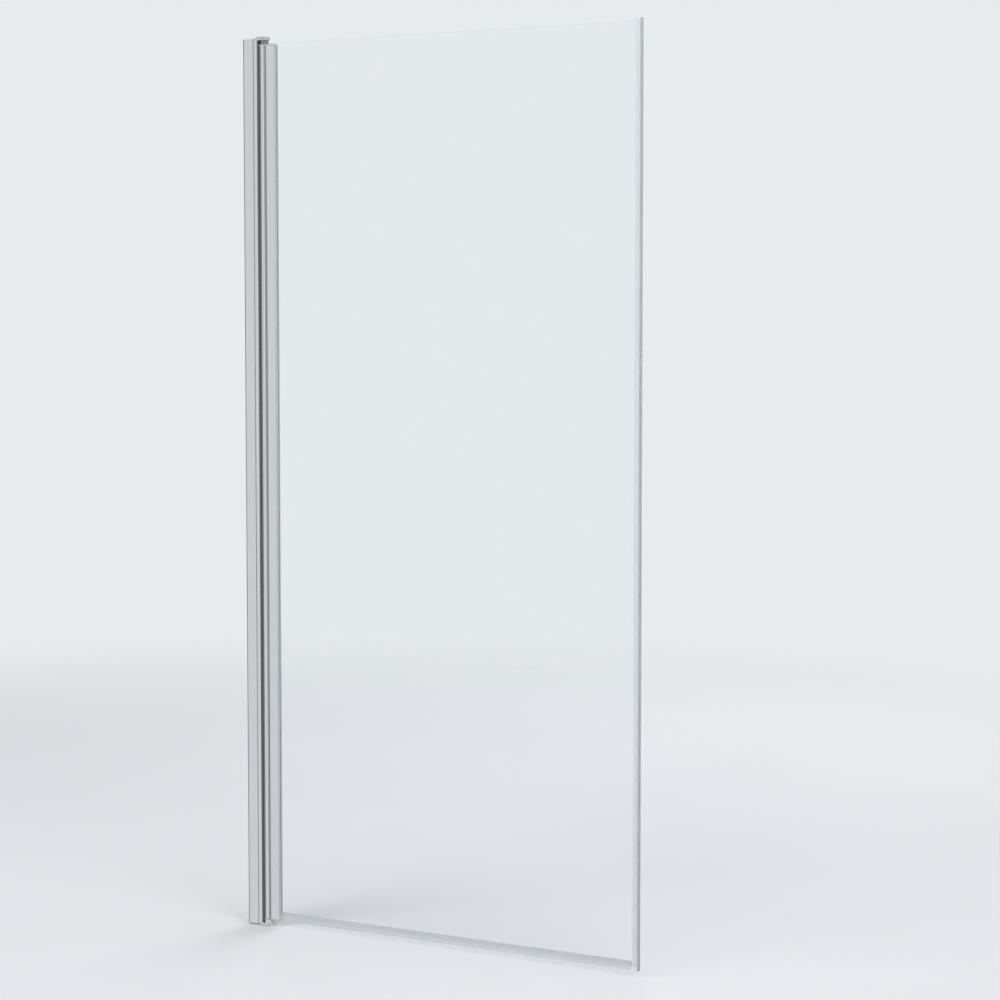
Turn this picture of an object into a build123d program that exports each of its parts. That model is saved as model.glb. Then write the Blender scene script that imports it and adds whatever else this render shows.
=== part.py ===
from build123d import *
from math import radians, sin, sqrt, tan
import os

# Hinged glass shower door on a wall channel, lifted by a rising cam as it opens.
# The origin is on the wall plane, in the middle plane of the glass, at floor level.
# X runs from the wall to the free edge, Y points into the shower, Z is up, in millimetres.
# The door is drawn closed. It opens outwards, towards -Y, about the upright pivot axis.

# Overall size and motion
overall_width = 900.0
overall_height = 1900.0
swing_angle = 90.0
door_lift = 5.0

# Clearances
running_gap = 0.05
seat_gap = 0.1
air_gap = 0.3

# Wall channel, an extruded aluminium U
channel_depth = 25.6
channel_width = 24.0
channel_wall = 1.5
channel_web = 2.2
channel_corner = 4.5
wall_hole_radius = 2.75
outer_hole_spacing = 1700.0
inner_hole_spacing = 600.0

# Hinge post, the extrusion that slides in the channel
post_back = 7.0
post_show = 8.6
post_wall = 1.6
post_land = 0.8
post_side_gap = 0.2
port_radius = 3.4
port_bore = 1.8
port_offset = 6.0
gasket_neck = 2.6
gasket_head = 5.2
gasket_neck_depth = 1.8
gasket_head_depth = 2.2
gasket_half_angle = 28.0

# Fixing screws of the post and of the brackets
side_screw_radius = 1.9
side_screw_head = 3.6
side_screw_head_height = 2.0
side_screw_reach = 3.4
side_screw_count = 3
side_screw_end_margin = 120.0
side_screw_offset = 11.5
cover_cap_radius = 5.2
cover_cap_height = 3.4
cover_cap_wall = 1.0
cover_cap_bevel = 0.8
bracket_screw_length = 22.0
bracket_screw_head = 3.5
bracket_screw_head_height = 1.7
screw_recess_depth = 0.9
screw_recess_reach = 1.9
screw_recess_width = 0.8

# Brackets at both ends of the post
bracket_thickness = 7.0
bracket_radius = 12.0
bracket_overhang = 3.5
bracket_slope = 12.0
slope_middle_run = 5.0
slope_middle_rise = 2.2
bracket_edge_bevel = 1.2
clip_recess_radius = 8.0
clip_recess_depth = 3.0
recess_cap_thickness = 1.2
recess_cap_bevel = 0.3

# Pivot pins, bushes and clips
pin_radius = 4.0
hex_across_flats = 6.9
bush_wall = 1.5
pin_end_room = 1.4
clip_thickness = 0.8
clip_outer_radius = 6.4
clip_groove_depth = 0.8
clip_mouth = 4.4
collar_dip = 3.0
insert_height = 25.0
hex_engagement = 18.0
dowel_radius = 1.0
dowel_depth = 3.0
dowel_circle = 7.4

# Pivot profile, the extrusion that turns with the glass
knuckle_radius = 11.0
knuckle_wall = 1.5
knuckle_gap = 0.8
clamp_length = 30.0
clamp_width = 18.0
clamp_leg = 2.2
clamp_web = 2.0
clamp_edge_round = 1.2
crease_width = 2.4
crease_depth = 0.9
mouth_rib_height = 0.8
mouth_rib_width = 1.4
mouth_rib_inset = 2.0
top_gap = 9.0
bottom_gap = 6.5
end_cap_thickness = 3.0
end_cap_round = 2.4
grub_screw_radius = 2.0
grub_screw_length = 6.0
grub_socket_across_flats = 2.0
grub_socket_depth = 1.8

# Rising cams
cam_base_height = 6.5
cam_neck_height = 18.0
cam_overrun = 1.0

# Glass and its seals
glass_thickness = 6.0
glass_edge_gap = 1.0
glass_top_step = 3.0
glass_arris = 0.6
gasket_lip = 0.9
setting_block_length = 14.0
seal_leg_height = 7.0
seal_leg_wall = 1.1
seal_web = 1.4
wiper_drop = 9.1
wiper_root = 2.4
wiper_tip = 1.0
drip_ledge_reach = 4.2
edge_seal_width = 10.4
edge_seal_body = 10.3
edge_seal_leg = 5.5
edge_seal_leg_wall = 1.3
edge_seal_top_step = 5.5
edge_seal_corner = 1.0
magnet_thickness = 2.4
magnet_width = 8.0
magnet_cover = 0.8

# Places that follow from the sizes above
post_front = channel_depth + post_show
post_half = channel_width / 2 - channel_wall - post_side_gap
pivot_x = post_front + knuckle_gap + knuckle_radius
cove_radius = sqrt((pivot_x - post_front) ** 2 + (post_half - post_land) ** 2)
cove_x = pivot_x - cove_radius
knuckle_bore = knuckle_radius - knuckle_wall
plug_radius = knuckle_bore - air_gap
port_x = post_back + port_offset
port_y = post_half - post_wall - port_radius + post_wall / 2
side_screw_x = post_back + side_screw_offset
clamp_half = clamp_width / 2
clamp_front = pivot_x + clamp_length
slot_floor = pivot_x + knuckle_bore + clamp_web
slot_half = clamp_half - clamp_leg
bottom_inner_z = bracket_thickness
top_inner_z = overall_height - bracket_thickness
door_bottom_z = bottom_inner_z + bottom_gap
profile_top_z = top_inner_z - top_gap
extrusion_bottom_z = door_bottom_z + end_cap_thickness
extrusion_top_z = profile_top_z - end_cap_thickness
glass_half = glass_thickness / 2
glass_bottom_z = door_bottom_z + wiper_drop + seal_web
glass_top_z = profile_top_z + glass_top_step
magnet_pocket = magnet_thickness + 2 * seat_gap
glass_end_x = overall_width - 2 * magnet_cover - magnet_pocket - seat_gap
edge_seal_x = overall_width - edge_seal_body - edge_seal_leg
cam_slope = door_lift / (2 * sin(radians(swing_angle / 2)) * plug_radius)
cam_root_z = door_bottom_z + cam_base_height
cam_middle_z = cam_root_z + cam_slope * knuckle_bore
cam_crest_z = cam_middle_z + cam_slope * knuckle_bore
hex_start_z = cam_crest_z + cam_overrun
upper_cam_top_z = cam_crest_z + cam_neck_height + cam_overrun
collar_bottom_z = profile_top_z - collar_dip
insert_top_z = collar_bottom_z - door_lift - air_gap
insert_bottom_z = insert_top_z - insert_height
pin_bore = pin_radius + running_gap
hex_bore_across_flats = hex_across_flats + 2 * running_gap
bush_radius = pin_radius + bush_wall
bush_length = bracket_thickness - clip_recess_depth
pin_reach = bracket_thickness - pin_end_room


def rect_between(x0, x1, y0, y1):
    """Rectangle given by its four sides."""
    return Pos((x0 + x1) / 2, (y0 + y1) / 2) * Rectangle(x1 - x0, y1 - y0)


def upright(section, z0, z1):
    """Extrude a plan section from height z0 to height z1."""
    return extrude(Pos(0, 0, z0) * section, amount=z1 - z0, dir=(0, 0, 1))


def both_sides(section):
    """A section and its mirror image across the middle plane of the glass."""
    return section + mirror(section, about=Plane.XZ)


def rod_along_y(x, z, y0, y1, radius):
    """Round rod across the door, from y0 to y1."""
    return Pos(x, (y0 + y1) / 2, z) * Rot(90, 0, 0) * Cylinder(radius, abs(y1 - y0))


def rod_along_x(x0, x1, z, radius):
    """Round rod along the door, from x0 to x1, in the middle plane of the glass."""
    return Pos((x0 + x1) / 2, 0, z) * Rot(0, 90, 0) * Cylinder(radius, x1 - x0)


def rod_along_z(x, y, z0, z1, radius):
    """Round upright rod from height z0 to z1."""
    return Pos(x, y, (z0 + z1) / 2) * Cylinder(radius, z1 - z0)


def hex_along_z(z0, z1, across_flats):
    """Upright hexagonal bar on the pivot axis."""
    section = RegularPolygon(across_flats / 2, 6, major_radius=False)
    return upright(Pos(pivot_x, 0) * section, z0, z1)


def at_end(shape, top):
    """Move a bracket-end piece, drawn outwards from height 0, to the top or the bottom end."""
    if top:
        return Pos(0, 0, top_inner_z) * shape
    return Pos(0, 0, bottom_inner_z) * mirror(shape, about=Plane.XY)


def side_screw_heights():
    """Heights of the screws that hold the post in the channel."""
    first = side_screw_end_margin
    last = overall_height - side_screw_end_margin
    step = (last - first) / (side_screw_count - 1)
    return [first + step * i for i in range(side_screw_count)]


def wall_channel():
    """U extrusion with rounded corners at the wall, drilled for four wall screws."""
    half = channel_width / 2
    outer = rect_between(0, channel_depth, -half, half)
    outer = fillet(outer.vertices().group_by(Axis.X)[0], channel_corner)
    inner_half = half - channel_wall
    inner = rect_between(channel_web, channel_depth + channel_web, -inner_half, inner_half)
    inner = fillet(inner.vertices().group_by(Axis.X)[0], channel_corner - channel_wall)
    body = upright(outer - inner, bracket_overhang, overall_height - bracket_overhang)
    middle = overall_height / 2
    for spacing in (outer_hole_spacing, inner_hole_spacing):
        for side in (-1, 1):
            z = middle + side * spacing / 2
            body -= rod_along_x(-channel_web, 2 * channel_web, z, wall_hole_radius)
    for z in side_screw_heights():
        hole_radius = side_screw_radius + seat_gap
        body -= rod_along_y(side_screw_x, z, inner_half - channel_wall, half + channel_wall, hole_radius)
    return body


def hinge_post():
    """Box extrusion with a cove round the knuckle, two screw ports and a gasket groove."""
    inner_half = post_half - post_wall
    rear_wall_x = cove_x - gasket_neck_depth - gasket_head_depth - 2 * post_wall
    section = rect_between(post_back, post_front, -post_half, post_half)
    section -= Pos(pivot_x, 0) * Circle(cove_radius)
    section -= rect_between(post_back + post_wall, rear_wall_x - post_wall, -inner_half, inner_half)
    chamber = rect_between(rear_wall_x, post_front, gasket_head / 2 + post_wall, inner_half)
    chamber -= Pos(pivot_x, 0) * Circle(cove_radius + post_wall)
    section -= both_sides(chamber)
    section -= gasket_root(0)
    ports = Pos(port_x, port_y) * Circle(port_radius)
    section += both_sides(ports)
    section -= both_sides(Pos(port_x, port_y) * Circle(port_bore))
    body = upright(section, bottom_inner_z, top_inner_z)
    for z in side_screw_heights():
        body -= rod_along_y(side_screw_x, z, inner_half - post_wall, post_half + post_wall, side_screw_radius)
    return body


def gasket_root(gap):
    """T-shaped plan of the groove in the post, or of the gasket's foot when gap is not 0."""
    neck_x = cove_x - gasket_neck_depth
    head_x = neck_x - gasket_head_depth
    neck = rect_between(neck_x - gap, cove_x + post_land, -gasket_neck / 2 + gap, gasket_neck / 2 - gap)
    head = rect_between(head_x + gap, neck_x - gap, -gasket_head / 2 + gap, gasket_head / 2 - gap)
    return neck + head


def post_gasket():
    """Rubber strip that fills the cove to just off the turning knuckle."""
    crescent = Pos(pivot_x, 0) * (Circle(cove_radius - seat_gap) - Circle(knuckle_radius + air_gap))
    reach = 2 * cove_radius
    spread = reach * tan(radians(gasket_half_angle))
    wedge = make_face(
        Polyline((pivot_x, 0), (pivot_x - reach, spread), (pivot_x - reach, -spread), close=True)
    )
    section = (crescent & wedge) + gasket_root(seat_gap)
    return upright(section, bottom_inner_z, top_inner_z)


def post_fixing_screws():
    """Pan-head screws through the channel into the post, on the shower side."""
    screws = []
    outside = channel_width / 2
    tip = outside - channel_wall - side_screw_reach
    for z in side_screw_heights():
        shank = rod_along_y(side_screw_x, z, tip, outside, side_screw_radius - running_gap)
        head = rod_along_y(side_screw_x, z, outside, outside + side_screw_head_height, side_screw_head)
        rim = head.edges().filter_by(GeomType.CIRCLE).sort_by(Axis.Y)[-1]
        screws.append(shank + chamfer(rim, side_screw_head_height / 2))
    return screws


def screw_cover_caps():
    """Hollow round caps that snap over the pan heads."""
    caps = []
    outside = channel_width / 2
    for z in side_screw_heights():
        cap = rod_along_y(side_screw_x, z, outside, outside + cover_cap_height, cover_cap_radius)
        rim = cap.edges().filter_by(GeomType.CIRCLE).sort_by(Axis.Y)[-1]
        cap = chamfer(rim, cover_cap_bevel)
        hollow_end = outside + cover_cap_height - cover_cap_wall
        hollow_radius = cover_cap_radius - cover_cap_wall
        hollow = rod_along_y(side_screw_x, z, outside - cover_cap_wall, hollow_end, hollow_radius)
        caps.append(cap - hollow)
    return caps


def bracket(top):
    """Cast arm that closes the post's end and carries the pivot bush in its round nose."""
    tail = rect_between(post_back, channel_depth, -post_half, post_half)
    shoulder_x = channel_depth + air_gap
    shoulder = rect_between(shoulder_x, post_front, -post_half, post_half)
    nose = Pos(pivot_x, 0) * Circle(bracket_radius)
    arm = make_hull(shoulder.edges() + nose.edges())
    link = rect_between(channel_depth, shoulder_x, -post_half, post_half)
    body = upright(arm, 0, bracket_thickness)
    tail_height = bracket_thickness - bracket_overhang
    slope_end_x = shoulder_x + bracket_slope
    relief = make_face(
        Polyline((shoulder_x - 1, tail_height), (shoulder_x, tail_height))
        + ThreePointArc(
            (shoulder_x, tail_height),
            (shoulder_x + slope_middle_run, tail_height + slope_middle_rise),
            (slope_end_x, bracket_thickness),
        )
        + Polyline(
            (slope_end_x, bracket_thickness),
            (slope_end_x, bracket_thickness + bracket_overhang),
            (shoulder_x - 1, bracket_thickness + bracket_overhang),
            (shoulder_x - 1, tail_height),
        )
    )
    body -= extrude(Plane.XZ * relief, amount=channel_width, both=True)
    rim = body.edges().group_by(Axis.Z)[-1].filter_by(GeomType.CIRCLE)
    body = chamfer(rim, bracket_edge_bevel)
    body += upright(tail + link, 0, tail_height)
    body -= rod_along_z(pivot_x, 0, -1, bracket_thickness + 1, bush_radius + running_gap)
    recess_floor = bracket_thickness - clip_recess_depth
    body -= rod_along_z(pivot_x, 0, recess_floor, bracket_thickness + 1, clip_recess_radius)
    for side in (-1, 1):
        y = side * port_y
        body -= rod_along_z(port_x, y, -1, tail_height + 1, port_bore + seat_gap)
        head_base = tail_height - bracket_screw_head_height
        sink = Cone(port_bore, bracket_screw_head + seat_gap, bracket_screw_head_height + seat_gap)
        body -= Pos(port_x, y, head_base + bracket_screw_head_height / 2) * sink
        if not top:
            dowel_bore = dowel_radius + running_gap
            body -= rod_along_z(pivot_x, side * dowel_circle, -1, dowel_depth + seat_gap, dowel_bore)
    return at_end(body, top)


def bracket_screws(top):
    """Two countersunk screws from the bracket's tail into the post's ports."""
    screws = []
    tail_height = bracket_thickness - bracket_overhang
    head_base = tail_height - bracket_screw_head_height
    for side in (-1, 1):
        shank = Cylinder(port_bore - running_gap, bracket_screw_length)
        shank = Pos(0, 0, head_base - bracket_screw_length / 2) * shank
        head = Cone(port_bore - running_gap, bracket_screw_head, bracket_screw_head_height)
        head = Pos(0, 0, head_base + bracket_screw_head_height / 2) * head
        slot = Rectangle(2 * screw_recess_reach, screw_recess_width)
        cross = slot + Rot(0, 0, 90) * slot
        recess = upright(cross, tail_height - screw_recess_depth, tail_height + 1)
        screw = shank + head - recess
        screws.append(at_end(Pos(port_x, side * port_y, 0) * screw, top))
    return screws


def pivot_bush(top):
    """Plain sleeve in the bracket's nose."""
    ring = Circle(bush_radius) - Circle(pin_bore)
    return at_end(upright(Pos(pivot_x, 0) * ring, 0, bush_length), top)


def pin_clip(top):
    """Open spring clip in the pin's groove, resting on the bush inside the bracket's recess."""
    ring = Circle(clip_outer_radius) - Circle(pin_radius - clip_groove_depth + running_gap)
    ring -= rect_between(0, clip_outer_radius * 2, -clip_mouth / 2, clip_mouth / 2)
    start = bush_length + seat_gap
    return at_end(upright(Pos(pivot_x, 0) * ring, start, start + clip_thickness), top)


def recess_cap(top):
    """Round plug that closes the clip recess flush with the bracket."""
    plug = rod_along_z(
        pivot_x, 0, bracket_thickness - recess_cap_thickness, bracket_thickness, clip_recess_radius - seat_gap
    )
    rim = plug.edges().group_by(Axis.Z)[-1]
    plug = chamfer(rim, recess_cap_bevel)
    return at_end(plug, top)


def pin_journal(start):
    """Round journal of a pin, from height start in the end's own frame out to the clip groove."""
    journal = rod_along_z(pivot_x, 0, start, pin_reach, pin_radius)
    groove_z = bush_length + seat_gap / 2
    groove = Circle(pin_radius + 1) - Circle(pin_radius - clip_groove_depth)
    return journal - upright(Pos(pivot_x, 0) * groove, groove_z, groove_z + clip_thickness + seat_gap)


def top_pivot_pin():
    """Pin with a collar that shows above the knuckle and a hexagon that drives it with the door."""
    collar_top_z = top_inner_z - air_gap
    pin = Pos(0, 0, top_inner_z) * pin_journal(-2 * air_gap)
    pin += rod_along_z(pivot_x, 0, collar_bottom_z, collar_top_z, plug_radius)
    pin += hex_along_z(insert_top_z - hex_engagement, collar_bottom_z, hex_across_flats)
    return pin


def bottom_pivot_pin():
    """Pin that turns in the bracket and the lower cam, with a hexagon in the upper cam."""
    pin = at_end(pin_journal(bottom_inner_z - hex_start_z), False)
    pin += hex_along_z(hex_start_z, upper_cam_top_z - air_gap, hex_across_flats)
    return pin


def cam_wedge(z_middle, radius):
    """Everything above the slanted cam plane, which passes the pivot axis at height z_middle."""
    reach = radius + 1
    rise = reach * cam_slope
    top_z = upper_cam_top_z + 1
    side_view = make_face(
        Polyline(
            (pivot_x - reach, z_middle + rise),
            (pivot_x + reach, z_middle - rise),
            (pivot_x + reach, top_z),
            (pivot_x - reach, top_z),
            close=True,
        )
    )
    return extrude(Plane.XZ * side_view, amount=reach, both=True)


def lower_cam():
    """Fixed cam on the bottom bracket, cut off slantwise inside the knuckle."""
    ring = Circle(plug_radius) - Circle(pin_bore)
    body = upright(Pos(pivot_x, 0) * ring, bottom_inner_z, cam_crest_z)
    body -= cam_wedge(cam_middle_z, plug_radius)
    for side in (-1, 1):
        body -= rod_along_z(
            pivot_x, side * dowel_circle, bottom_inner_z - 1, bottom_inner_z + dowel_depth + seat_gap,
            dowel_radius + running_gap,
        )
    return body


def upper_cam():
    """Cam fixed in the knuckle, cut by the same slanted plane a small gap higher."""
    radius = knuckle_bore - running_gap
    body = rod_along_z(pivot_x, 0, cam_root_z, upper_cam_top_z, radius)
    body &= cam_wedge(cam_middle_z + air_gap, radius)
    body -= rod_along_z(pivot_x, 0, cam_root_z - 1, hex_start_z + air_gap, pin_bore)
    body -= hex_along_z(hex_start_z, upper_cam_top_z + 1, hex_bore_across_flats)
    return body - grub_screw(cam_screw_z(), seat_gap)


def cam_screw_z():
    """Height of the grub screw that holds the upper cam."""
    return (hex_start_z + upper_cam_top_z) / 2


def insert_screw_z():
    """Height of the grub screw that holds the top insert."""
    return (insert_top_z + insert_bottom_z) / 2


def grub_screw(z, gap):
    """Headless screw from the floor of the glass slot into a knuckle insert."""
    end_x = slot_floor - seat_gap
    return rod_along_x(end_x - grub_screw_length - gap, end_x + 2 * gap, z, grub_screw_radius + gap / 2)


def insert_grub_screws():
    """The two grub screws, each with a hexagon socket facing the glass."""
    screws = []
    for z in (cam_screw_z(), insert_screw_z()):
        socket = RegularPolygon(grub_socket_across_flats / 2, 6, major_radius=False)
        recess = extrude(Plane.YZ * socket, amount=grub_socket_depth * 2)
        screw = grub_screw(z, 0) - Pos(slot_floor - seat_gap - grub_socket_depth, 0, z) * recess
        screws.append(screw)
    return screws


def top_insert():
    """Plug in the knuckle with a hexagonal bore that slides along the top pin."""
    body = rod_along_z(pivot_x, 0, insert_bottom_z, insert_top_z, knuckle_bore - running_gap)
    body -= hex_along_z(insert_bottom_z - 1, insert_top_z + 1, hex_bore_across_flats)
    return body - grub_screw(insert_screw_z(), seat_gap)


def lower_cam_dowels():
    """Two dowels that stop the lower cam from turning on the bracket."""
    z0 = bottom_inner_z - dowel_depth
    z1 = bottom_inner_z + dowel_depth
    return [rod_along_z(pivot_x, side * dowel_circle, z0, z1, dowel_radius) for side in (-1, 1)]


def profile_outline():
    """Plan outline of the pivot profile: the round knuckle running into the flat clamp."""
    knuckle = Pos(pivot_x, 0) * Circle(knuckle_radius)
    clamp = rect_between(pivot_x, clamp_front, -clamp_half, clamp_half)
    clamp = fillet(clamp.vertices().group_by(Axis.X)[-1], clamp_edge_round)
    crease_x = pivot_x + sqrt(max(knuckle_radius**2 - clamp_half**2, 0))
    crease = make_face(
        Polyline(
            (crease_x, clamp_half + 1),
            (crease_x, clamp_half),
            (crease_x + crease_width / 3, clamp_half - crease_depth),
            (crease_x + crease_width, clamp_half),
            (crease_x + crease_width, clamp_half + 1),
            close=True,
        )
    )
    return knuckle + clamp - both_sides(crease)


def pivot_profile():
    """Extrusion with the knuckle bore, the glass slot and a rib inside each leg's mouth."""
    section = profile_outline() - Pos(pivot_x, 0) * Circle(knuckle_bore)
    section -= rect_between(slot_floor, clamp_front + 1, -slot_half, slot_half)
    rib_x = clamp_front - mouth_rib_inset - mouth_rib_width
    rib = rect_between(rib_x, rib_x + mouth_rib_width, slot_half - mouth_rib_height, slot_half)
    section += both_sides(rib)
    body = upright(section, extrusion_bottom_z, extrusion_top_z)
    for z in (cam_screw_z(), insert_screw_z()):
        body -= rod_along_x(pivot_x + knuckle_bore / 2, slot_floor + 1, z, grub_screw_radius + seat_gap / 2)
    return body


def profile_end_cap(top):
    """Plate on the pivot profile's end, its free corner rounded. The top one lets the glass through."""
    section = profile_outline() - Pos(pivot_x, 0) * Circle(knuckle_bore)
    z0 = extrusion_top_z if top else door_bottom_z
    plate = upright(section, z0, z0 + end_cap_thickness)
    side_view = rect_between(pivot_x - knuckle_radius, clamp_front, z0, z0 + end_cap_thickness)
    free_corner = side_view.vertices().group_by(Axis.X)[-1].sort_by(Axis.Y)[-1 if top else 0]
    side_view = fillet(free_corner, end_cap_round)
    plate &= extrude(Plane.XZ * side_view, amount=channel_width, both=True)
    if top:
        slot = rect_between(slot_floor, clamp_front + 1, -glass_half - air_gap, glass_half + air_gap)
        plate -= upright(slot, z0 - 1, z0 + end_cap_thickness + 1)
    return plate


def glass_panel():
    """Toughened pane with ground arrises."""
    x0 = slot_floor + glass_edge_gap
    pane = Box(glass_end_x - x0, glass_thickness, glass_top_z - glass_bottom_z)
    pane = Pos((x0 + glass_end_x) / 2, 0, (glass_bottom_z + glass_top_z) / 2) * pane
    long_edges = pane.edges().filter_by(Axis.Z) + pane.edges().filter_by(Axis.X)
    return chamfer(long_edges, glass_arris)


def glazing_gasket():
    """Rubber wedge between the glass and the front leg, notched for the leg's rib."""
    inner_y = glass_half + seat_gap / 2
    outer_y = slot_half - seat_gap / 2
    body = rect_between(slot_floor + air_gap, clamp_front + gasket_lip, inner_y, outer_y)
    lip_x = clamp_front + air_gap
    body += rect_between(lip_x, clamp_front + gasket_lip, inner_y, slot_half + clamp_leg / 2)
    rib_x = clamp_front - mouth_rib_inset - mouth_rib_width
    notch_y = slot_half - mouth_rib_height - seat_gap / 2
    body -= rect_between(rib_x - seat_gap, rib_x + mouth_rib_width + seat_gap, notch_y, slot_half)
    return upright(body, extrusion_bottom_z, extrusion_top_z)


def glass_setting_block():
    """Plastic block between the bottom cap and the lower edge of the glass."""
    x0 = slot_floor + glass_edge_gap
    section = rect_between(x0, x0 + setting_block_length, -glass_half, glass_half)
    return upright(section, extrusion_bottom_z, glass_bottom_z)


def bottom_seal():
    """Clip-on strip: two legs on the glass, a web, a wiper blade and a drip ledge."""
    inner = glass_half + seat_gap / 2
    outer = inner + seal_leg_wall
    web_bottom = glass_bottom_z - seal_web
    leg_top = glass_bottom_z + seal_leg_height
    section = rect_between(-outer, outer, web_bottom, leg_top)
    section -= rect_between(-inner, inner, glass_bottom_z - seat_gap / 2, leg_top + 1)
    blade = make_face(
        Polyline(
            (-outer, web_bottom + seal_web / 2),
            (-outer + wiper_root, web_bottom + seal_web / 2),
            (-outer + wiper_root, web_bottom),
            (-wiper_tip, door_bottom_z),
            (-2 * wiper_tip, door_bottom_z),
            (-outer, web_bottom),
            close=True,
        )
    )
    ledge = make_face(
        Polyline(
            (outer - seal_leg_wall, web_bottom + seal_web / 2),
            (outer, web_bottom + seal_web / 2),
            (outer + drip_ledge_reach, web_bottom - drip_ledge_reach),
            (outer + drip_ledge_reach - seal_leg_wall, web_bottom - drip_ledge_reach),
            (outer - seal_leg_wall, web_bottom),
            close=True,
        )
    )
    start = clamp_front + gasket_lip + air_gap
    length = edge_seal_x - air_gap - start
    return extrude(Plane.YZ.offset(start) * (section + blade + ledge), amount=length)


def edge_seal():
    """Clear strip on the free edge, with two thin legs and a pocket for the magnet."""
    slot = glass_half + seat_gap / 2
    leg = slot + edge_seal_leg_wall
    half = edge_seal_width / 2
    body_x = overall_width - edge_seal_body
    body = rect_between(body_x, overall_width, -half, half)
    body = fillet(body.vertices(), edge_seal_corner)
    section = body + rect_between(edge_seal_x, body_x + edge_seal_corner, -leg, leg)
    section -= rect_between(edge_seal_x - 1, glass_end_x + seat_gap / 2, -slot, slot)
    pocket_x = overall_width - magnet_cover - magnet_pocket
    pocket_half = magnet_width / 2 + seat_gap
    section -= rect_between(pocket_x, overall_width - magnet_cover, -pocket_half, pocket_half)
    return upright(section, door_bottom_z, glass_top_z + edge_seal_top_step)


def magnet_strip():
    """Flat magnetic bar in the edge seal's pocket."""
    x0 = overall_width - magnet_cover - seat_gap - magnet_thickness
    section = rect_between(x0, x0 + magnet_thickness, -magnet_width / 2, magnet_width / 2)
    return upright(section, door_bottom_z, glass_top_z + edge_seal_top_step)


def save(name, shape):
    """Write one piece, or one group of like pieces, to its own file."""
    solid = Compound(shape) if isinstance(shape, list) else shape
    export_step(solid, f"parts/{name}.step")


os.makedirs("parts", exist_ok=True)
save("wall_channel", wall_channel())
save("hinge_post", hinge_post())
save("post_gasket", post_gasket())
save("post_fixing_screws", post_fixing_screws())
save("screw_cover_caps", screw_cover_caps())
for place in ("top", "bottom"):
    top = place == "top"
    save(f"{place}_bracket", bracket(top))
    save(f"{place}_bracket_screws", bracket_screws(top))
    save(f"{place}_bush", pivot_bush(top))
    save(f"{place}_pin_clip", pin_clip(top))
    save(f"{place}_recess_cap", recess_cap(top))
    save(f"profile_{place}_cap", profile_end_cap(top))
save("lower_cam", lower_cam())
save("lower_cam_dowels", lower_cam_dowels())
save("top_pivot_pin", top_pivot_pin())
save("bottom_pivot_pin", bottom_pivot_pin())
save("pivot_profile", pivot_profile())
save("upper_cam", upper_cam())
save("top_insert", top_insert())
save("insert_grub_screws", insert_grub_screws())
save("glass_panel", glass_panel())
inside_gasket = glazing_gasket()
save("inside_glazing_gasket", inside_gasket)
save("outside_glazing_gasket", mirror(inside_gasket, about=Plane.XZ))
save("glass_setting_block", glass_setting_block())
save("bottom_seal", bottom_seal())
save("edge_seal", edge_seal())
save("magnet_strip", magnet_strip())
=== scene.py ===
import math

import bpy
import numpy as np
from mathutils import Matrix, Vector
from mathutils.geometry import tessellate_polygon


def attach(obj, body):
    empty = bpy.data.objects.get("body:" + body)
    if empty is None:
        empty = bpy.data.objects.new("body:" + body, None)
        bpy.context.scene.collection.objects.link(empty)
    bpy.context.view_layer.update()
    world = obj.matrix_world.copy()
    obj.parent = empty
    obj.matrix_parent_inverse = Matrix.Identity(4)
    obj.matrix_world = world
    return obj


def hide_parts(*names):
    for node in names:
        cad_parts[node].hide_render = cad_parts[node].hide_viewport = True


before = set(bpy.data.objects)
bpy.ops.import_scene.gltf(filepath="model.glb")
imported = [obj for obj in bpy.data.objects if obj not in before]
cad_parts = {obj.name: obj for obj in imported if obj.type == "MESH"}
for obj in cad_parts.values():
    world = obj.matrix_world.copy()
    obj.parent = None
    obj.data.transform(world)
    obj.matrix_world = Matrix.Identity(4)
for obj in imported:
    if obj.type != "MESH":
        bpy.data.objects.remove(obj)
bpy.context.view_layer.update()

# Camera
# It stands 3.8 m out from the door and 1.5 m past its free edge, at chest height, and looks a little
# down. The place, the heading and the lens were fitted to the door's corners in the photograph.
camera_place = (2.375, -3.848, 1.331)
camera_heading = math.radians(24.83)
camera_pitch = math.radians(-3.2)
lens_length = 75.63
sensor_width = 36.0
picture_shift = -0.075
nearest_seen = 0.05
farthest_seen = 60.0
camera_data = bpy.data.cameras.new("camera")
camera_data.lens = lens_length
camera_data.sensor_width = sensor_width
camera_data.shift_y = picture_shift
camera_data.clip_start = nearest_seen
camera_data.clip_end = farthest_seen
camera = bpy.data.objects.new("camera", camera_data)
camera.location = camera_place
camera.rotation_euler = (math.pi / 2 + camera_pitch, 0.0, camera_heading)
scene = bpy.context.scene
scene.collection.objects.link(camera)
scene.camera = camera
scene.view_settings.view_transform = "Standard"

# Floor
# A pale matt sheet that catches the door's shadow. A few metres out it thins away into the
# pale surround, so there is no horizon line.
floor_half = 6.0
floor_fade_start = 1.6
floor_fade_end = 4.2
floor_mottle = 2 / 3


def linear(colour):
    """sRGB hex to linear RGBA: each channel is scaled below 0.04045 and raised to 2.4 above it."""
    parts = [int(colour[i:i + 2], 16) / 255 for i in (1, 3, 5)]
    return tuple(c / 12.92 if c <= 0.04045 else ((c + 0.055) / 1.055) ** 2.4 for c in parts) + (1.0,)


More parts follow.
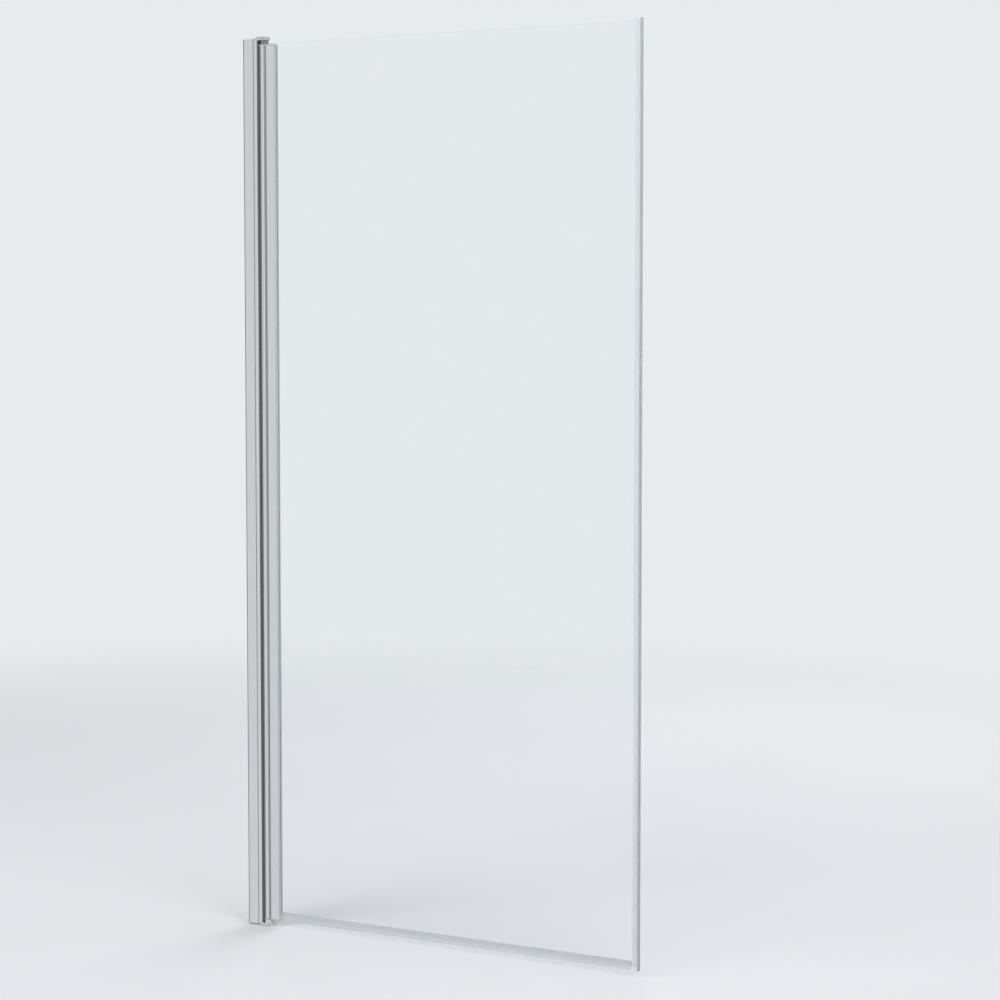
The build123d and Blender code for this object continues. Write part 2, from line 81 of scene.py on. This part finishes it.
def add_node(tree, kind, settings=None, **inputs):
    """Add a node with its properties, and set its inputs or link them.

    An input goes by its name, with _ for a space, or by its place, as i0 or i1.
    """
    node = tree.nodes.new(kind)
    for name, value in (settings or {}).items():
        setattr(node, name, value)
    for name, value in inputs.items():
        by_place = name[0] == "i" and name[1:].isdigit()
        socket = node.inputs[int(name[1:])] if by_place else node.inputs[name.replace("_", " ")]
        if isinstance(value, bpy.types.NodeSocket):
            tree.links.new(value, socket)
        else:
            socket.default_value = value
    return node


def empty_material(name):
    """A new material with nothing in its tree but the output."""
    material = bpy.data.materials.new(name)
    material.use_nodes = True
    material.node_tree.nodes.clear()
    return material, material.node_tree, material.node_tree.nodes.new("ShaderNodeOutputMaterial")


floor_paint, tree, output = empty_material("pale_floor_paint")
place = add_node(tree, "ShaderNodeTexCoord").outputs["Object"]
mottle = add_node(tree, "ShaderNodeTexNoise", Vector=place, Scale=1 / floor_mottle, Detail=3.0)
tint = add_node(
    tree, "ShaderNodeMix", {"data_type": "RGBA"}, Factor=mottle.outputs["Fac"],
    i6=linear("#e7e7ea"), i7=linear("#ededf0"),
)
painted = add_node(tree, "ShaderNodeBsdfDiffuse", Color=tint.outputs[2])
centred = add_node(tree, "ShaderNodeVectorMath", {"operation": "LENGTH"}, i0=place)
fade = add_node(
    tree, "ShaderNodeMapRange", {"interpolation_type": "SMOOTHSTEP"},
    Value=centred.outputs["Value"], From_Min=floor_fade_start, From_Max=floor_fade_end,
)
gone = add_node(tree, "ShaderNodeBsdfTransparent")
surface = add_node(
    tree, "ShaderNodeMixShader", i0=fade.outputs[0], i1=painted.outputs[0], i2=gone.outputs[0],
)
tree.links.new(surface.outputs[0], output.inputs["Surface"])
floor_mesh = bpy.data.meshes.new("floor")
floor_corners = np.array([(-1, -1, 0), (1, -1, 0), (1, 1, 0), (-1, 1, 0)]) * floor_half
floor_mesh.from_pydata(floor_corners.tolist(), [], [(0, 1, 2, 3)])
floor_mesh.materials.append(floor_paint)
floor = bpy.data.objects.new("floor", floor_mesh)
floor.visible_glossy = False
scene.collection.objects.link(floor)

# Surround and lamps
# The surround is a ring of soft pale and grey screens, which the bright extrusions mirror as
# their long stripes. The camera, and what is seen through the glass, get one even pale colour.
backdrop_colour = "#e8ebee"
# Each screen is a heading in degrees from +X, and the colour there. Between two the colour blends.
screens = (
    (-180, "#7c8084"), (-168, "#6c7074"), (-150, "#6c7074"), (-137, "#e4e6e8"), (-112, "#e6e9eb"),
    (-106, "#a9adb0"), (-101, "#b0b4b7"), (-97, "#ffffff"), (-79, "#ffffff"), (-74, "#a5a9ac"),
    (-62, "#a1a5a8"), (-48, "#e2e5e8"), (0, "#dcdfe2"), (38, "#dcdfe2"), (47, "#c8cbce"),
    (52, "#484c50"), (65, "#484c50"), (71, "#c8cbce"), (82, "#dcdfe2"), (118, "#d6d9dc"),
    (134, "#cdd0d3"), (148, "#7c8084"), (180, "#7c8084"),
)
world = bpy.data.worlds.new("studio")
world.use_nodes = True
tree = world.node_tree
tree.nodes.clear()
world_output = tree.nodes.new("ShaderNodeOutputWorld")
outward = add_node(tree, "ShaderNodeTexCoord").outputs["Generated"]
heading = add_node(tree, "ShaderNodeSeparateXYZ", Vector=outward)
turn = add_node(
    tree, "ShaderNodeMath", {"operation": "ARCTAN2"}, i0=heading.outputs["Y"], i1=heading.outputs["X"],
)
share = add_node(
    tree, "ShaderNodeMapRange", Value=turn.outputs[0], From_Min=-math.pi, From_Max=math.pi,
)
ring = add_node(tree, "ShaderNodeValToRGB", Fac=share.outputs[0])
stops = ring.color_ramp.elements
for _ in screens[2:]:
    stops.new(0.5)
for stop, (angle, colour) in zip(stops, screens):
    stop.position = (angle + 180) / 360
    stop.color = linear(colour)
lit = add_node(tree, "ShaderNodeBackground", Color=ring.outputs[0], Strength=1.0)
shown = add_node(tree, "ShaderNodeBackground", Color=linear(backdrop_colour), Strength=1.0)
path = add_node(tree, "ShaderNodeLightPath")
seen = add_node(
    tree, "ShaderNodeMath", {"operation": "MAXIMUM"},
    i0=path.outputs["Is Camera Ray"], i1=path.outputs["Is Transmission Ray"],
)
both = add_node(tree, "ShaderNodeMixShader", i0=seen.outputs[0], i1=lit.outputs[0], i2=shown.outputs[0])
tree.links.new(both.outputs[0], world_output.inputs["Surface"])
scene.world = world

# Each lamp has a place, a point that it faces, a width in metres and a power in watts.
lamps = {
    "front_lamp": ((-1.6, -3.0, 3.2), (0.4, 0.0, 0.8), 2.4, 62.0),
    "side_lamp": ((3.6, -1.6, 2.8), (0.5, 0.0, 0.8), 2.2, 44.0),
    "back_lamp": ((0.6, 3.2, 2.8), (0.4, 0.0, 0.8), 2.6, 40.0),
}
for name, (spot, aim, width, power) in lamps.items():
    lamp_data = bpy.data.lights.new(name, "AREA")
    lamp_data.size = width
    lamp_data.energy = power
    lamp = bpy.data.objects.new(name, lamp_data)
    lamp.location = spot
    lamp.rotation_euler = (Vector(aim) - Vector(spot)).to_track_quat("-Z", "Y").to_euler()
    lamp.visible_glossy = False
    lamp.visible_transmission = False
    scene.collection.objects.link(lamp)

# Wall channel, hinge post and pivot profile
# Three aluminium extrusions, polished and then anodised bright, which softens reflections into smooth
# grey stripes. The die leaves faint lines along the bar, drawn as wide as they need to show. The
# wheel can't reach the crease between knuckle and clamp, so it stays dull; its darker grey is painted
# shade.
die_line_width = 0.0012
die_line_length = 0.9
die_line_depth = 0.00002
anodic_roughness = 0.14
polish_cloud = 0.2
polish_spread = (0.85, 1.2)
# Where the crease's painted shade lies, how wide it is, its full core, the least |y| it starts at, and
# how much rougher the metal is there.
crease_x = 0.0543
crease_half_width = 0.0026
crease_core = 0.3
crease_least_y = 0.0078
crease_dulling = 2.5


def streaks(tree, width, length, along=2):
    """Noise from Object coordinates, squeezed to width and stretched to length along one axis."""
    stretch = [1 / width] * 3
    stretch[along] = 1 / length
    place = add_node(tree, "ShaderNodeTexCoord").outputs["Object"]
    squeezed = add_node(tree, "ShaderNodeMapping", Vector=place, Scale=stretch)
    return add_node(
        tree, "ShaderNodeTexNoise", Vector=squeezed.outputs[0], Scale=1.0, Detail=3.0, Roughness=0.6,
    )


def drawn_metal(name, pale, dark, roughness, depth, width, length, crease_shade_colour=None):
    """Metal with faint lines, width across and length along Z, which drive its colour and bump.

    Broad clouds drive its gloss. With a crease colour given, painted shade darkens the metal into
    that colour, and the metal is rougher, where x is within crease_half_width of crease_x and |y| is
    over crease_least_y. Both are full in the crease's core, a share of that width.
    """
    material, tree, output = empty_material(name)
    lines = streaks(tree, width, length)
    place = add_node(tree, "ShaderNodeTexCoord").outputs["Object"]
    cloud = add_node(tree, "ShaderNodeTexNoise", Vector=place, Scale=1 / polish_cloud, Detail=2.0)
    tint = add_node(
        tree, "ShaderNodeMix", {"data_type": "RGBA"}, Factor=lines.outputs["Fac"],
        i6=linear(dark), i7=linear(pale),
    )
    gloss = add_node(
        tree, "ShaderNodeMapRange", Value=cloud.outputs["Fac"], From_Min=0.3, From_Max=0.7,
        To_Min=roughness * polish_spread[0], To_Max=roughness * polish_spread[1],
    )
    ridge = add_node(tree, "ShaderNodeBump", Height=lines.outputs["Fac"], Strength=0.25, Distance=depth)
    colour, dulling = tint.outputs[2], gloss.outputs[0]
    # Painted shade in the crease: the colour is mixed towards the darker crease colour, and the roughness
    # rises.
    if crease_shade_colour:
        split = add_node(tree, "ShaderNodeSeparateXYZ", Vector=place)
        aside = add_node(
            tree, "ShaderNodeMath", {"operation": "SUBTRACT"}, i0=split.outputs["X"], i1=crease_x,
        )
        off = add_node(tree, "ShaderNodeMath", {"operation": "ABSOLUTE"}, i0=aside.outputs[0])
        near = add_node(
            tree, "ShaderNodeMapRange", {"interpolation_type": "SMOOTHSTEP"}, Value=off.outputs[0],
            From_Min=crease_half_width, From_Max=crease_half_width * crease_core,
        )
        reach = add_node(tree, "ShaderNodeMath", {"operation": "ABSOLUTE"}, i0=split.outputs["Y"])
        outer = add_node(
            tree, "ShaderNodeMath", {"operation": "GREATER_THAN"}, i0=reach.outputs[0], i1=crease_least_y,
        )
        mask = add_node(
            tree, "ShaderNodeMath", {"operation": "MULTIPLY"}, i0=near.outputs[0], i1=outer.outputs[0],
        )
        shaded = add_node(
            tree, "ShaderNodeMix", {"data_type": "RGBA"}, Factor=mask.outputs[0],
            i6=colour, i7=linear(crease_shade_colour),
        )
        rough = add_node(
            tree, "ShaderNodeMix", Factor=mask.outputs[0], i2=dulling, i3=roughness * crease_dulling,
        )
        colour, dulling = shaded.outputs[2], rough.outputs[0]
    shader = add_node(
        tree, "ShaderNodeBsdfPrincipled", Base_Color=colour, Metallic=1.0,
        Roughness=dulling, Normal=ridge.outputs[0],
    )
    tree.links.new(shader.outputs[0], output.inputs["Surface"])
    return material


def dress(material, *nodes):
    """Give CAD nodes one material in their only slot."""
    for node in nodes:
        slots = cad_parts[node].data.materials
        slots.clear()
        slots.append(material)


anodised = drawn_metal(
    "bright_anodised_aluminium", "#e5e7e8", "#d8dadc", anodic_roughness,
    die_line_depth, die_line_width, die_line_length,
)
dress(anodised, "wall_channel", "hinge_post")
# The pivot profile gets painted shade in its crease, the grey #9fa2a5.
creased = drawn_metal(
    "bright_anodised_aluminium_crease_shaded", "#e5e7e8", "#d8dadc", anodic_roughness,
    die_line_depth, die_line_width, die_line_length, "#9fa2a5",
)
dress(creased, "pivot_profile")

# Brackets
# Zinc die-castings, polished and chromed. Chrome mirrors its surroundings almost sharply,
# with a slight orange-peel ripple that the casting leaves under the plating.
peel_size = 0.004
peel_depth = 0.00002
film_size = 0.02
chrome_roughness = (0.06, 0.16)
chrome, tree, output = empty_material("chromed_zinc")
place = add_node(tree, "ShaderNodeTexCoord").outputs["Object"]
peel = add_node(tree, "ShaderNodeTexNoise", Vector=place, Scale=1 / peel_size, Detail=2.0)
film = add_node(tree, "ShaderNodeTexNoise", Vector=place, Scale=1 / film_size, Detail=2.0)
gloss = add_node(
    tree, "ShaderNodeMapRange", Value=film.outputs["Fac"],
    To_Min=chrome_roughness[0], To_Max=chrome_roughness[1],
)
tint = add_node(
    tree, "ShaderNodeMix", {"data_type": "RGBA"}, Factor=film.outputs["Fac"],
    i6=linear("#c9ccd0"), i7=linear("#dcdfe1"),
)
ripple = add_node(
    tree, "ShaderNodeBump", Height=peel.outputs["Fac"], Strength=0.15, Distance=peel_depth,
)
shader = add_node(
    tree, "ShaderNodeBsdfPrincipled", Base_Color=tint.outputs[2], Metallic=1.0,
    Roughness=gloss.outputs[0], Normal=ripple.outputs[0],
)
tree.links.new(shader.outputs[0], output.inputs["Surface"])
dress(chrome, "top_bracket", "bottom_bracket")

# Pins, clips, dowels and screws
# Stainless steel, turned or pressed. It is a warmer and duller grey than the chrome, with
# fine tool marks round the pins.
tool_mark_width = 0.004
tool_mark_spacing = 0.0008
tool_mark_depth = 0.00001
steel_roughness = 0.28
stainless = drawn_metal(
    "stainless_steel", "#a6a6a5", "#868685", steel_roughness,
    tool_mark_depth, tool_mark_width, tool_mark_spacing,
)
dress(
    stainless, "top_pivot_pin", "bottom_pivot_pin", "top_pin_clip", "bottom_pin_clip",
    "lower_cam_dowels", "insert_grub_screws", "post_fixing_screws", "top_bracket_screws",
    "bottom_bracket_screws",
)

# Bushes, cams, insert and setting block
# White acetal, moulded. It is a dense waxy plastic: pale, a little see-through at thin edges,
# with a fine grain from the mould that is drawn as coarse as it needs to show.
acetal_grain = 0.0008
acetal_grain_depth = 0.00001
acetal_roughness = 0.42
acetal_glow = 0.2
mould_spread = (0.85, 1.15)
blotch_ratio = 20


def moulded_plastic(name, pale, dark, roughness, grain, grain_depth, glow=0.0):
    """Plastic with a mould grain: fine noise drives its bump and gloss.

    Noise blotch_ratio times coarser drives its colour, and glow is the light under its skin.
    """
    material, tree, output = empty_material(name)
    place = add_node(tree, "ShaderNodeTexCoord").outputs["Object"]
    fine = add_node(tree, "ShaderNodeTexNoise", Vector=place, Scale=1 / grain, Detail=3.0)
    blotch = add_node(
        tree, "ShaderNodeTexNoise", Vector=place, Scale=1 / (grain * blotch_ratio), Detail=2.0,
    )
    tint = add_node(
        tree, "ShaderNodeMix", {"data_type": "RGBA"}, Factor=blotch.outputs["Fac"],
        i6=linear(dark), i7=linear(pale),
    )
    gloss = add_node(
        tree, "ShaderNodeMapRange", Value=fine.outputs["Fac"],
        To_Min=roughness * mould_spread[0], To_Max=roughness * mould_spread[1],
    )
    bump = add_node(
        tree, "ShaderNodeBump", Height=fine.outputs["Fac"], Strength=0.3, Distance=grain_depth,
    )
    shader = add_node(
        tree, "ShaderNodeBsdfPrincipled", Base_Color=tint.outputs[2], Roughness=gloss.outputs[0],
        Normal=bump.outputs[0], IOR=1.48, Subsurface_Weight=glow, Subsurface_Scale=0.002,
    )
    tree.links.new(shader.outputs[0], output.inputs["Surface"])
    return material


acetal = moulded_plastic(
    "white_acetal", "#ecebe6", "#dddcd6", acetal_roughness,
    acetal_grain, acetal_grain_depth, acetal_glow,
)
dress(acetal, "top_bush", "bottom_bush", "lower_cam", "upper_cam", "top_insert", "glass_setting_block")

# End caps and cover caps
# Moulded grey ABS, coloured to go with the aluminium. They close the profile's ends and the clip
# recesses and cover the screw heads. A fine spark-eroded texture makes them satin.
abs_grain = 0.0006
abs_grain_depth = 0.000015
abs_roughness = 0.38
grey_plastic = moulded_plastic(
    "grey_moulded_abs", "#b4b7ba", "#a2a6a9", abs_roughness, abs_grain, abs_grain_depth,
)
dress(
    grey_plastic, "profile_top_cap", "profile_bottom_cap", "top_recess_cap", "bottom_recess_cap",
    "screw_cover_caps",
)

# Glass pane
# Clear toughened float glass, 6 mm thick. Iron in it shows as a pale green-blue that grows with the
# depth of glass looked through, so the face is almost clear and the edges are green. The top edge
# is ground, so it glows a pale green instead of mirroring.
roller_wave = 0.28
roller_wave_depth = 0.0002
smears_per_metre = 14.0
smear_roughness = 0.02
iron_density = 2.4
ground_edge_height = 1.8863
glass, tree, output = empty_material("clear_float_glass")
place = add_node(tree, "ShaderNodeTexCoord").outputs["Object"]
wave = add_node(tree, "ShaderNodeTexNoise", Vector=place, Scale=1 / roller_wave, Detail=1.0)
haze = add_node(tree, "ShaderNodeTexNoise", Vector=place, Scale=smears_per_metre, Detail=4.0)
smear = add_node(
    tree, "ShaderNodeMapRange", Value=haze.outputs["Fac"], From_Min=0.45, From_Max=0.75,
    To_Min=0.0, To_Max=smear_roughness,
)
tint = add_node(
    tree, "ShaderNodeMix", {"data_type": "RGBA"}, Factor=haze.outputs["Fac"],
    i6=linear("#fafdfd"), i7=linear("#fdfefe"),
)
swell = add_node(
    tree, "ShaderNodeBump", Height=wave.outputs["Fac"], Strength=0.2, Distance=roller_wave_depth,
)
shader = add_node(
    tree, "ShaderNodeBsdfPrincipled", Base_Color=tint.outputs[2], Roughness=smear.outputs[0],
    Normal=swell.outputs[0], IOR=1.52, Transmission_Weight=1.0,
)
iron = add_node(
    tree, "ShaderNodeVolumeAbsorption", Color=linear("#dbe8e7"), Density=iron_density,
)
height = add_node(tree, "ShaderNodeSeparateXYZ", Vector=place)
ground = add_node(
    tree, "ShaderNodeMath", {"operation": "GREATER_THAN"},
    i0=height.outputs["Z"], i1=ground_edge_height,
)
frost = add_node(tree, "ShaderNodeBsdfDiffuse", Color=linear("#dfece9"))
glow = add_node(tree, "ShaderNodeBsdfTranslucent", Color=linear("#e6f1ee"))
frosted = add_node(tree, "ShaderNodeMixShader", i0=0.5, i1=frost.outputs[0], i2=glow.outputs[0])
face_or_edge = add_node(
    tree, "ShaderNodeMixShader", i0=ground.outputs[0], i1=shader.outputs[0], i2=frosted.outputs[0],
)
tree.links.new(face_or_edge.outputs[0], output.inputs["Surface"])
tree.links.new(iron.outputs[0], output.inputs["Volume"])
dress(glass, "glass_panel")
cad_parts["glass_panel"].visible_shadow = False

# Edge strip
# Clear flexible vinyl, extruded, pushed onto the free edge of the glass. Two soft legs hold the
# pane, and a closed pocket in its square nose holds the magnet bar. It is nearly clear, so it
# shows mostly by its edges, with long lines where it dragged through the die.
strip_bottom = 0.0135
strip_top = 1.8925
strip_rings = 48
nose_corners = [
    (885.4, -3.9), (889.9, -4.35), (889.9, -5.2), (900.0, -5.2), (900.0, 5.2), (889.9, 5.2),
    (889.9, 4.35), (885.4, 3.9), (885.4, 3.1), (886.4, 3.05), (895.75, 3.05), (895.75, -3.05),
    (886.4, -3.05), (885.4, -3.1),
]
nose_rounding = [0.35, 0.3, 0.5, 1.0, 1.0, 0.5, 0.3, 0.35, 0.3, 0.3, 0.2, 0.2, 0.3, 0.3]
pocket_corners = [(896.6, -4.1), (899.2, -4.1), (899.2, 4.1), (896.6, 4.1)]
pocket_rounding = 0.2
drag_line_width = 0.0015
drag_line_length = 0.4
drag_line_depth = 0.00001
vinyl_roughness = (0.06, 0.16)
strip_clearness = 0.9
sharp_fold = math.radians(35)


def rounded_outline(corners, radii, steps=5):
    """Outline in metres from corners in mm, each turned into the curve (1-t)^2 A + 2t(1-t) P + t^2 B.

    P is the corner, and A and B lie one radius from it along its two sides.
    """
    point = np.asarray(corners, float) / 1000
    radius = (np.ones(len(point)) * radii)[:, None] / 1000
    back = np.roll(point, 1, axis=0) - point
    ahead = np.roll(point, -1, axis=0) - point
    start = point + back / np.linalg.norm(back, axis=1, keepdims=True) * radius
    stop = point + ahead / np.linalg.norm(ahead, axis=1, keepdims=True) * radius
    t = np.linspace(0, 1, steps)[None, :, None]
    curve = (1 - t) ** 2 * start[:, None] + 2 * t * (1 - t) * point[:, None] + t ** 2 * stop[:, None]
    return curve.reshape(-1, 2)


def turned_left(outline):
    """True if the outline runs anticlockwise: half the sum of u v' - v u' over its sides is positive."""
    u, v = outline.T
    return 0.5 * np.sum(u * np.roll(v, -1) - v * np.roll(u, -1)) > 0


def extruded(name, outlines, stations, along=2, drift=None):
    """Closed strip: at each station w the outlines lie at (u, v, w), u, v and w in the axes' order.

    The first outline is the outside, and any others are holes. drift moves u and v as a function of
    (u, v, w), for a lip that isn't quite straight. Both ends are closed by triangles.
    """
    outlines = [o if turned_left(o) == (i == 0) else o[::-1] for i, o in enumerate(outlines)]
    flat = np.concatenate(outlines)
    count = len(flat)
    u = np.broadcast_to(flat[:, 0], (len(stations), count))
    v = np.broadcast_to(flat[:, 1], (len(stations), count))
    w = np.broadcast_to(np.asarray(stations)[:, None], (len(stations), count))
    if drift:
        u, v = drift(u, v, w)
    order = {2: (0, 1, 2), 0: (1, 2, 0)}[along]
    points = np.empty((len(stations), count, 3))
    for axis, values in zip(order, (u, v, w)):
        points[:, :, axis] = values
    first = np.cumsum([0] + [len(o) for o in outlines])
    index = np.arange(count)
    after = np.concatenate([np.roll(index[i:j], -1) for i, j in zip(first[:-1], first[1:])])
    rows = np.arange(len(stations) - 1)[:, None] * count
    sides = np.stack([rows + index, rows + after, rows + after + count, rows + index + count], axis=-1)
    ends = np.array(tessellate_polygon([[Vector((x, y, 0)) for x, y in o] for o in outlines]))
    a, b, c = flat[ends[:, 0]], flat[ends[:, 1]], flat[ends[:, 2]]
    clockwise = (b - a)[:, 0] * (c - a)[:, 1] - (b - a)[:, 1] * (c - a)[:, 0] < 0
    ends[clockwise] = ends[clockwise][:, ::-1]
    far_ends = ends + (len(stations) - 1) * count
    faces = sides.reshape(-1, 4).tolist() + ends[:, ::-1].tolist() + far_ends.tolist()
    mesh = bpy.data.meshes.new(name)
    mesh.from_pydata(points.reshape(-1, 3).tolist(), [], faces)
    mesh.polygons.foreach_set("use_smooth", np.ones(len(faces), dtype=bool))
    mesh.set_sharp_from_angle(angle=sharp_fold)
    mesh.update()
    piece = bpy.data.objects.new(name, mesh)
    scene.collection.objects.link(piece)
    return piece


def soft_vinyl(name, along, pale, dark, clearness):
    """Soft vinyl, from clear at 1 to milky at 0, with drag lines along the strip.

    The lines drive its colour, gloss and bump.
    """
    material, tree, output = empty_material(name)
    lines = streaks(tree, drag_line_width, drag_line_length, along)
    tint = add_node(
        tree, "ShaderNodeMix", {"data_type": "RGBA"}, Factor=lines.outputs["Fac"],
        i6=linear(dark), i7=linear(pale),
    )
    gloss = add_node(
        tree, "ShaderNodeMapRange", Value=lines.outputs["Fac"],
        To_Min=vinyl_roughness[0], To_Max=vinyl_roughness[1],
    )
    bump = add_node(
        tree, "ShaderNodeBump", Height=lines.outputs["Fac"], Strength=0.15, Distance=drag_line_depth,
    )
    shader = add_node(
        tree, "ShaderNodeBsdfPrincipled", Base_Color=tint.outputs[2], Roughness=gloss.outputs[0],
        Normal=bump.outputs[0], IOR=1.53, Transmission_Weight=clearness,
    )
    tree.links.new(shader.outputs[0], output.inputs["Surface"])
    return material


nose = rounded_outline(nose_corners, nose_rounding)
magnet_pocket = rounded_outline(pocket_corners, pocket_rounding)
strip_stations = np.linspace(strip_bottom, strip_top, strip_rings)
strip_vinyl = soft_vinyl("clear_extruded_vinyl", 2, "#f8fafb", "#eef1f3", strip_clearness)
edge_strip = extruded("edge_strip", [nose, magnet_pocket], strip_stations)
edge_strip.data.materials.append(strip_vinyl)
edge_strip.visible_shadow = False
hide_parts("edge_seal")
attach(edge_strip, "door")

# Magnet strip
# Ferrite powder bound in rubber and cut from a flat bar, slid into the strip's pocket.
# Its pale grey skin is dull, with a fine sandy grain.
ferrite_grain = 0.0009
ferrite_grain_depth = 0.00003
ferrite_roughness = 0.7
ferrite = moulded_plastic(
    "grey_skinned_ferrite_rubber", "#bfc2c5", "#adb0b3", ferrite_roughness,
    ferrite_grain, ferrite_grain_depth,
)
dress(ferrite, "magnet_strip")

# Bottom wiper
# The same vinyl, a little cloudier, clipped on under the glass. Two legs hold the pane, a thin blade
# curves down to the sill, and a ledge throws water back into the shower. The tip wanders a little.
wiper_start = 0.0772
wiper_end = 0.8839
wiper_rings = 96
wiper_wander = 0.00025
wiper_wave = 0.19
wiper_clearness = 0.62
leg_foot = 0.0226
blade_drop = 0.009
wiper_corners = [
    (4.15, 22.9), (4.15, 31.0), (3.45, 31.0), (3.05, 30.0), (3.05, 24.0), (-3.05, 24.0),
    (-3.05, 30.0), (-3.45, 31.0), (-4.15, 31.0), (-4.15, 22.4), (-3.7, 18.2), (-2.1, 13.5),
    (-1.2, 13.5), (-2.0, 18.6), (-1.9, 22.6), (3.0, 22.6), (6.9, 18.4), (8.05, 18.4),
]
wiper_rounding = [
    0.8, 0.35, 0.3, 0.4, 0.2, 0.2, 0.4, 0.3, 0.35, 1.2, 1.8, 0.4, 0.4, 1.8, 0.5, 0.6, 0.5, 0.5,
]


def wander(u, v, w):
    """Sideways move of wiper_wander * sin(2 pi w / wiper_wave) * s^2.

    s runs from 0 at the legs' foot to 1 at the blade's tip.
    """
    s = np.clip((leg_foot - v) / blade_drop, 0, 1)
    return u + wiper_wander * np.sin(2 * np.pi * w / wiper_wave) * s ** 2, v


blade_and_legs = rounded_outline(wiper_corners, wiper_rounding)
wiper_stations = np.linspace(wiper_start, wiper_end, wiper_rings)
wiper_vinyl = soft_vinyl("cloudy_extruded_vinyl", 0, "#e6eaee", "#dbdfe4", wiper_clearness)
wiper = extruded("bottom_wiper", [blade_and_legs], wiper_stations, 0, wander)
wiper.data.materials.append(wiper_vinyl)
wiper.visible_shadow = False
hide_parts("bottom_seal")
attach(wiper, "door")

# Post gasket
# Dark rubber with a T-shaped foot, pulled into the post's groove. Its hollow face has three soft
# ribs that stand just off the turning knuckle. The rubber is dull and shows as one dark line.
gasket_bottom = 0.007
gasket_top = 1.893
gasket_rings = 24
hollow_radius = 0.0115
back_radius = 0.01505
gasket_spread = math.radians(37)
arc_points = 61
rib_height = 0.0002
pivot_x = 0.046
foot_corners = [(30.9, 1.2), (28.95, 1.2), (28.95, 2.5), (26.95, 2.5)]
foot_clear = 0.00125
rubber_line_width = 0.0007
rubber_line_length = 0.15
rubber_line_depth = 0.00002
rubber_roughness = (0.5, 0.7)


def extruded_rubber(name, pale, dark):
    """Dull rubber: drag lines of the die along Z drive its colour, gloss and bump."""
    material, tree, output = empty_material(name)
    lines = streaks(tree, rubber_line_width, rubber_line_length)
    tint = add_node(
        tree, "ShaderNodeMix", {"data_type": "RGBA"}, Factor=lines.outputs["Fac"],
        i6=linear(dark), i7=linear(pale),
    )
    gloss = add_node(
        tree, "ShaderNodeMapRange", Value=lines.outputs["Fac"],
        To_Min=rubber_roughness[0], To_Max=rubber_roughness[1],
    )
    bump = add_node(
        tree, "ShaderNodeBump", Height=lines.outputs["Fac"], Strength=0.3, Distance=rubber_line_depth,
    )
    shader = add_node(
        tree, "ShaderNodeBsdfPrincipled", Base_Color=tint.outputs[2], Roughness=gloss.outputs[0],
        Normal=bump.outputs[0], IOR=1.52,
    )
    tree.links.new(shader.outputs[0], output.inputs["Surface"])
    return material


# Both arcs are centred on the pivot axis, at the angles 180 degrees - spread * a, with a from -1 to 1.
# The face's radius is hollow_radius - rib_height * cos(1.5 pi a)^2, and the back's is plain. The
# back stops foot_clear from the middle, where the foot joins it.
a = np.linspace(-1, 1, arc_points)[:, None]
angle = math.pi - gasket_spread * a
arc = np.hstack([np.cos(angle), np.sin(angle)])
face = arc * (hollow_radius - rib_height * np.cos(1.5 * np.pi * a) ** 2)
back = arc[::-1] * back_radius
foot = np.array(foot_corners) / 1000 - (pivot_x, 0.0)
foot = np.vstack([foot, foot[::-1] * (1, -1)])
one_side, other_side = back[back[:, 1] > foot_clear], back[back[:, 1] < -foot_clear]
crescent = np.vstack([face, one_side, foot, other_side]) + (pivot_x, 0.0)
gasket_stations = np.linspace(gasket_bottom, gasket_top, gasket_rings)
dark_rubber = extruded_rubber("dark_extruded_rubber", "#707376", "#5b5e61")
post_rubber = extruded("post_rubber", [crescent], gasket_stations)
post_rubber.data.materials.append(dark_rubber)
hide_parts("post_gasket")
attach(post_rubber, "wall_frame")

# Glazing gaskets
# Milky wedges of soft vinyl, pressed in between the pane and the profile's legs, one on each
# side of the glass. A rounded lip covers the leg's edge, and a notch snaps over the rib inside it.
wedge_bottom = 0.0165
wedge_top = 1.881
wedge_rings = 24
wedge_clearness = 0.12
wedge_corners = [
    (57.8, 3.6), (61.0, 3.05), (76.7, 3.05), (76.7, 7.2), (76.15, 7.2), (76.15, 6.75), (74.1, 6.75),
    (74.1, 5.95), (72.5, 5.95), (72.5, 6.75), (69.0, 6.5), (66.0, 6.75), (63.0, 6.5), (60.0, 6.75),
    (57.8, 6.2),
]
wedge_rounding = [0.4, 1.0, 0.25, 0.25, 0.2, 0.15, 0.2, 0.2, 0.2, 0.2, 1.2, 1.2, 1.2, 1.0, 0.4]
wedge_vinyl = soft_vinyl("milky_extruded_vinyl", 2, "#e4e7ea", "#d6dadd", wedge_clearness)
wedge_stations = np.linspace(wedge_bottom, wedge_top, wedge_rings)
for side, name in ((1, "inside"), (-1, "outside")):
    wedge = rounded_outline(np.array(wedge_corners) * (1, side), wedge_rounding)
    gasket = extruded(f"{name}_glazing_wedge", [wedge], wedge_stations)
    gasket.data.materials.append(wedge_vinyl)
    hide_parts(f"{name}_glazing_gasket")
    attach(gasket, "door")
